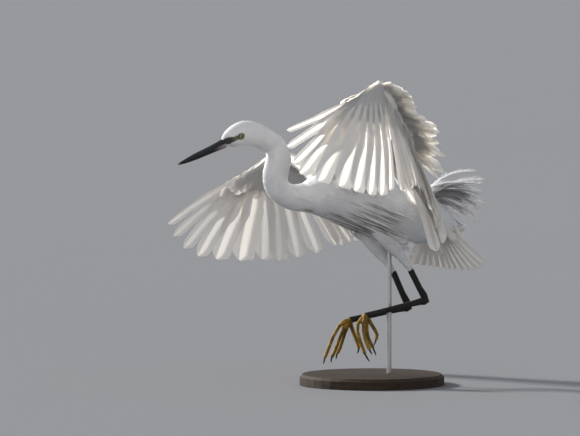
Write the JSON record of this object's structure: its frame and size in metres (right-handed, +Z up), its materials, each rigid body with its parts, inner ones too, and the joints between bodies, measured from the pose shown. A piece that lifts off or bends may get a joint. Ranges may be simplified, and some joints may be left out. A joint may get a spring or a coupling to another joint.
{
  "type": "little egret model on a display stand",
  "caption": "Life-size white egret held in landing flight on a plain stand: wings cupped forward, slim neck, dagger bill, dark legs and yellow feet hanging.",
  "frame": {"origin": "centre of the base's underside, on the surface that the stand rests on", "axes": "+Z up; the bird heads to -X and 30 degrees towards -Y, with its left wing on the -Y side"},
  "size_m": [0.4661, 0.7321, 0.4523],
  "materials": {
    "plumage": "soft white feathers, bluish in shade and warm where light comes through",
    "eye": "clear pale yellow iris with a black pupil",
    "bill": "blue-black horn, paler and pinkish at the base of the lower half",
    "leg": "black scaled skin with a soft sheen",
    "foot": "mustard yellow scaled skin, darker at the joints",
    "claw": "black horn",
    "base": "dark stained wood with a satin finish",
    "rod": "brushed steel"
  },
  "bodies": {
    "root": {"stand_base": "base", "stand_rod": "rod", "torso": "plumage", "neck_lower": "plumage", "neck_upper": "plumage", "head": "plumage", "eye_left": "eye", "eye_right": "eye", "bill_upper": "bill", "bill_lower": "bill", "tail": "plumage", "wing_left_arm": "plumage", "wing_left_hand": "plumage", "thigh_left": "plumage", "shin_left": "leg", "tarsus_left": "leg", "foot_left": "foot", "claw_left_1": "claw", "claw_left_2": "claw", "claw_left_3": "claw", "claw_left_4": "claw", "wing_right_arm": "plumage", "wing_right_hand": "plumage", "thigh_right": "plumage", "shin_right": "leg", "tarsus_right": "leg", "foot_right": "foot", "claw_right_1": "claw", "claw_right_2": "claw", "claw_right_3": "claw", "claw_right_4": "claw"}
  },
  "joints": []
}
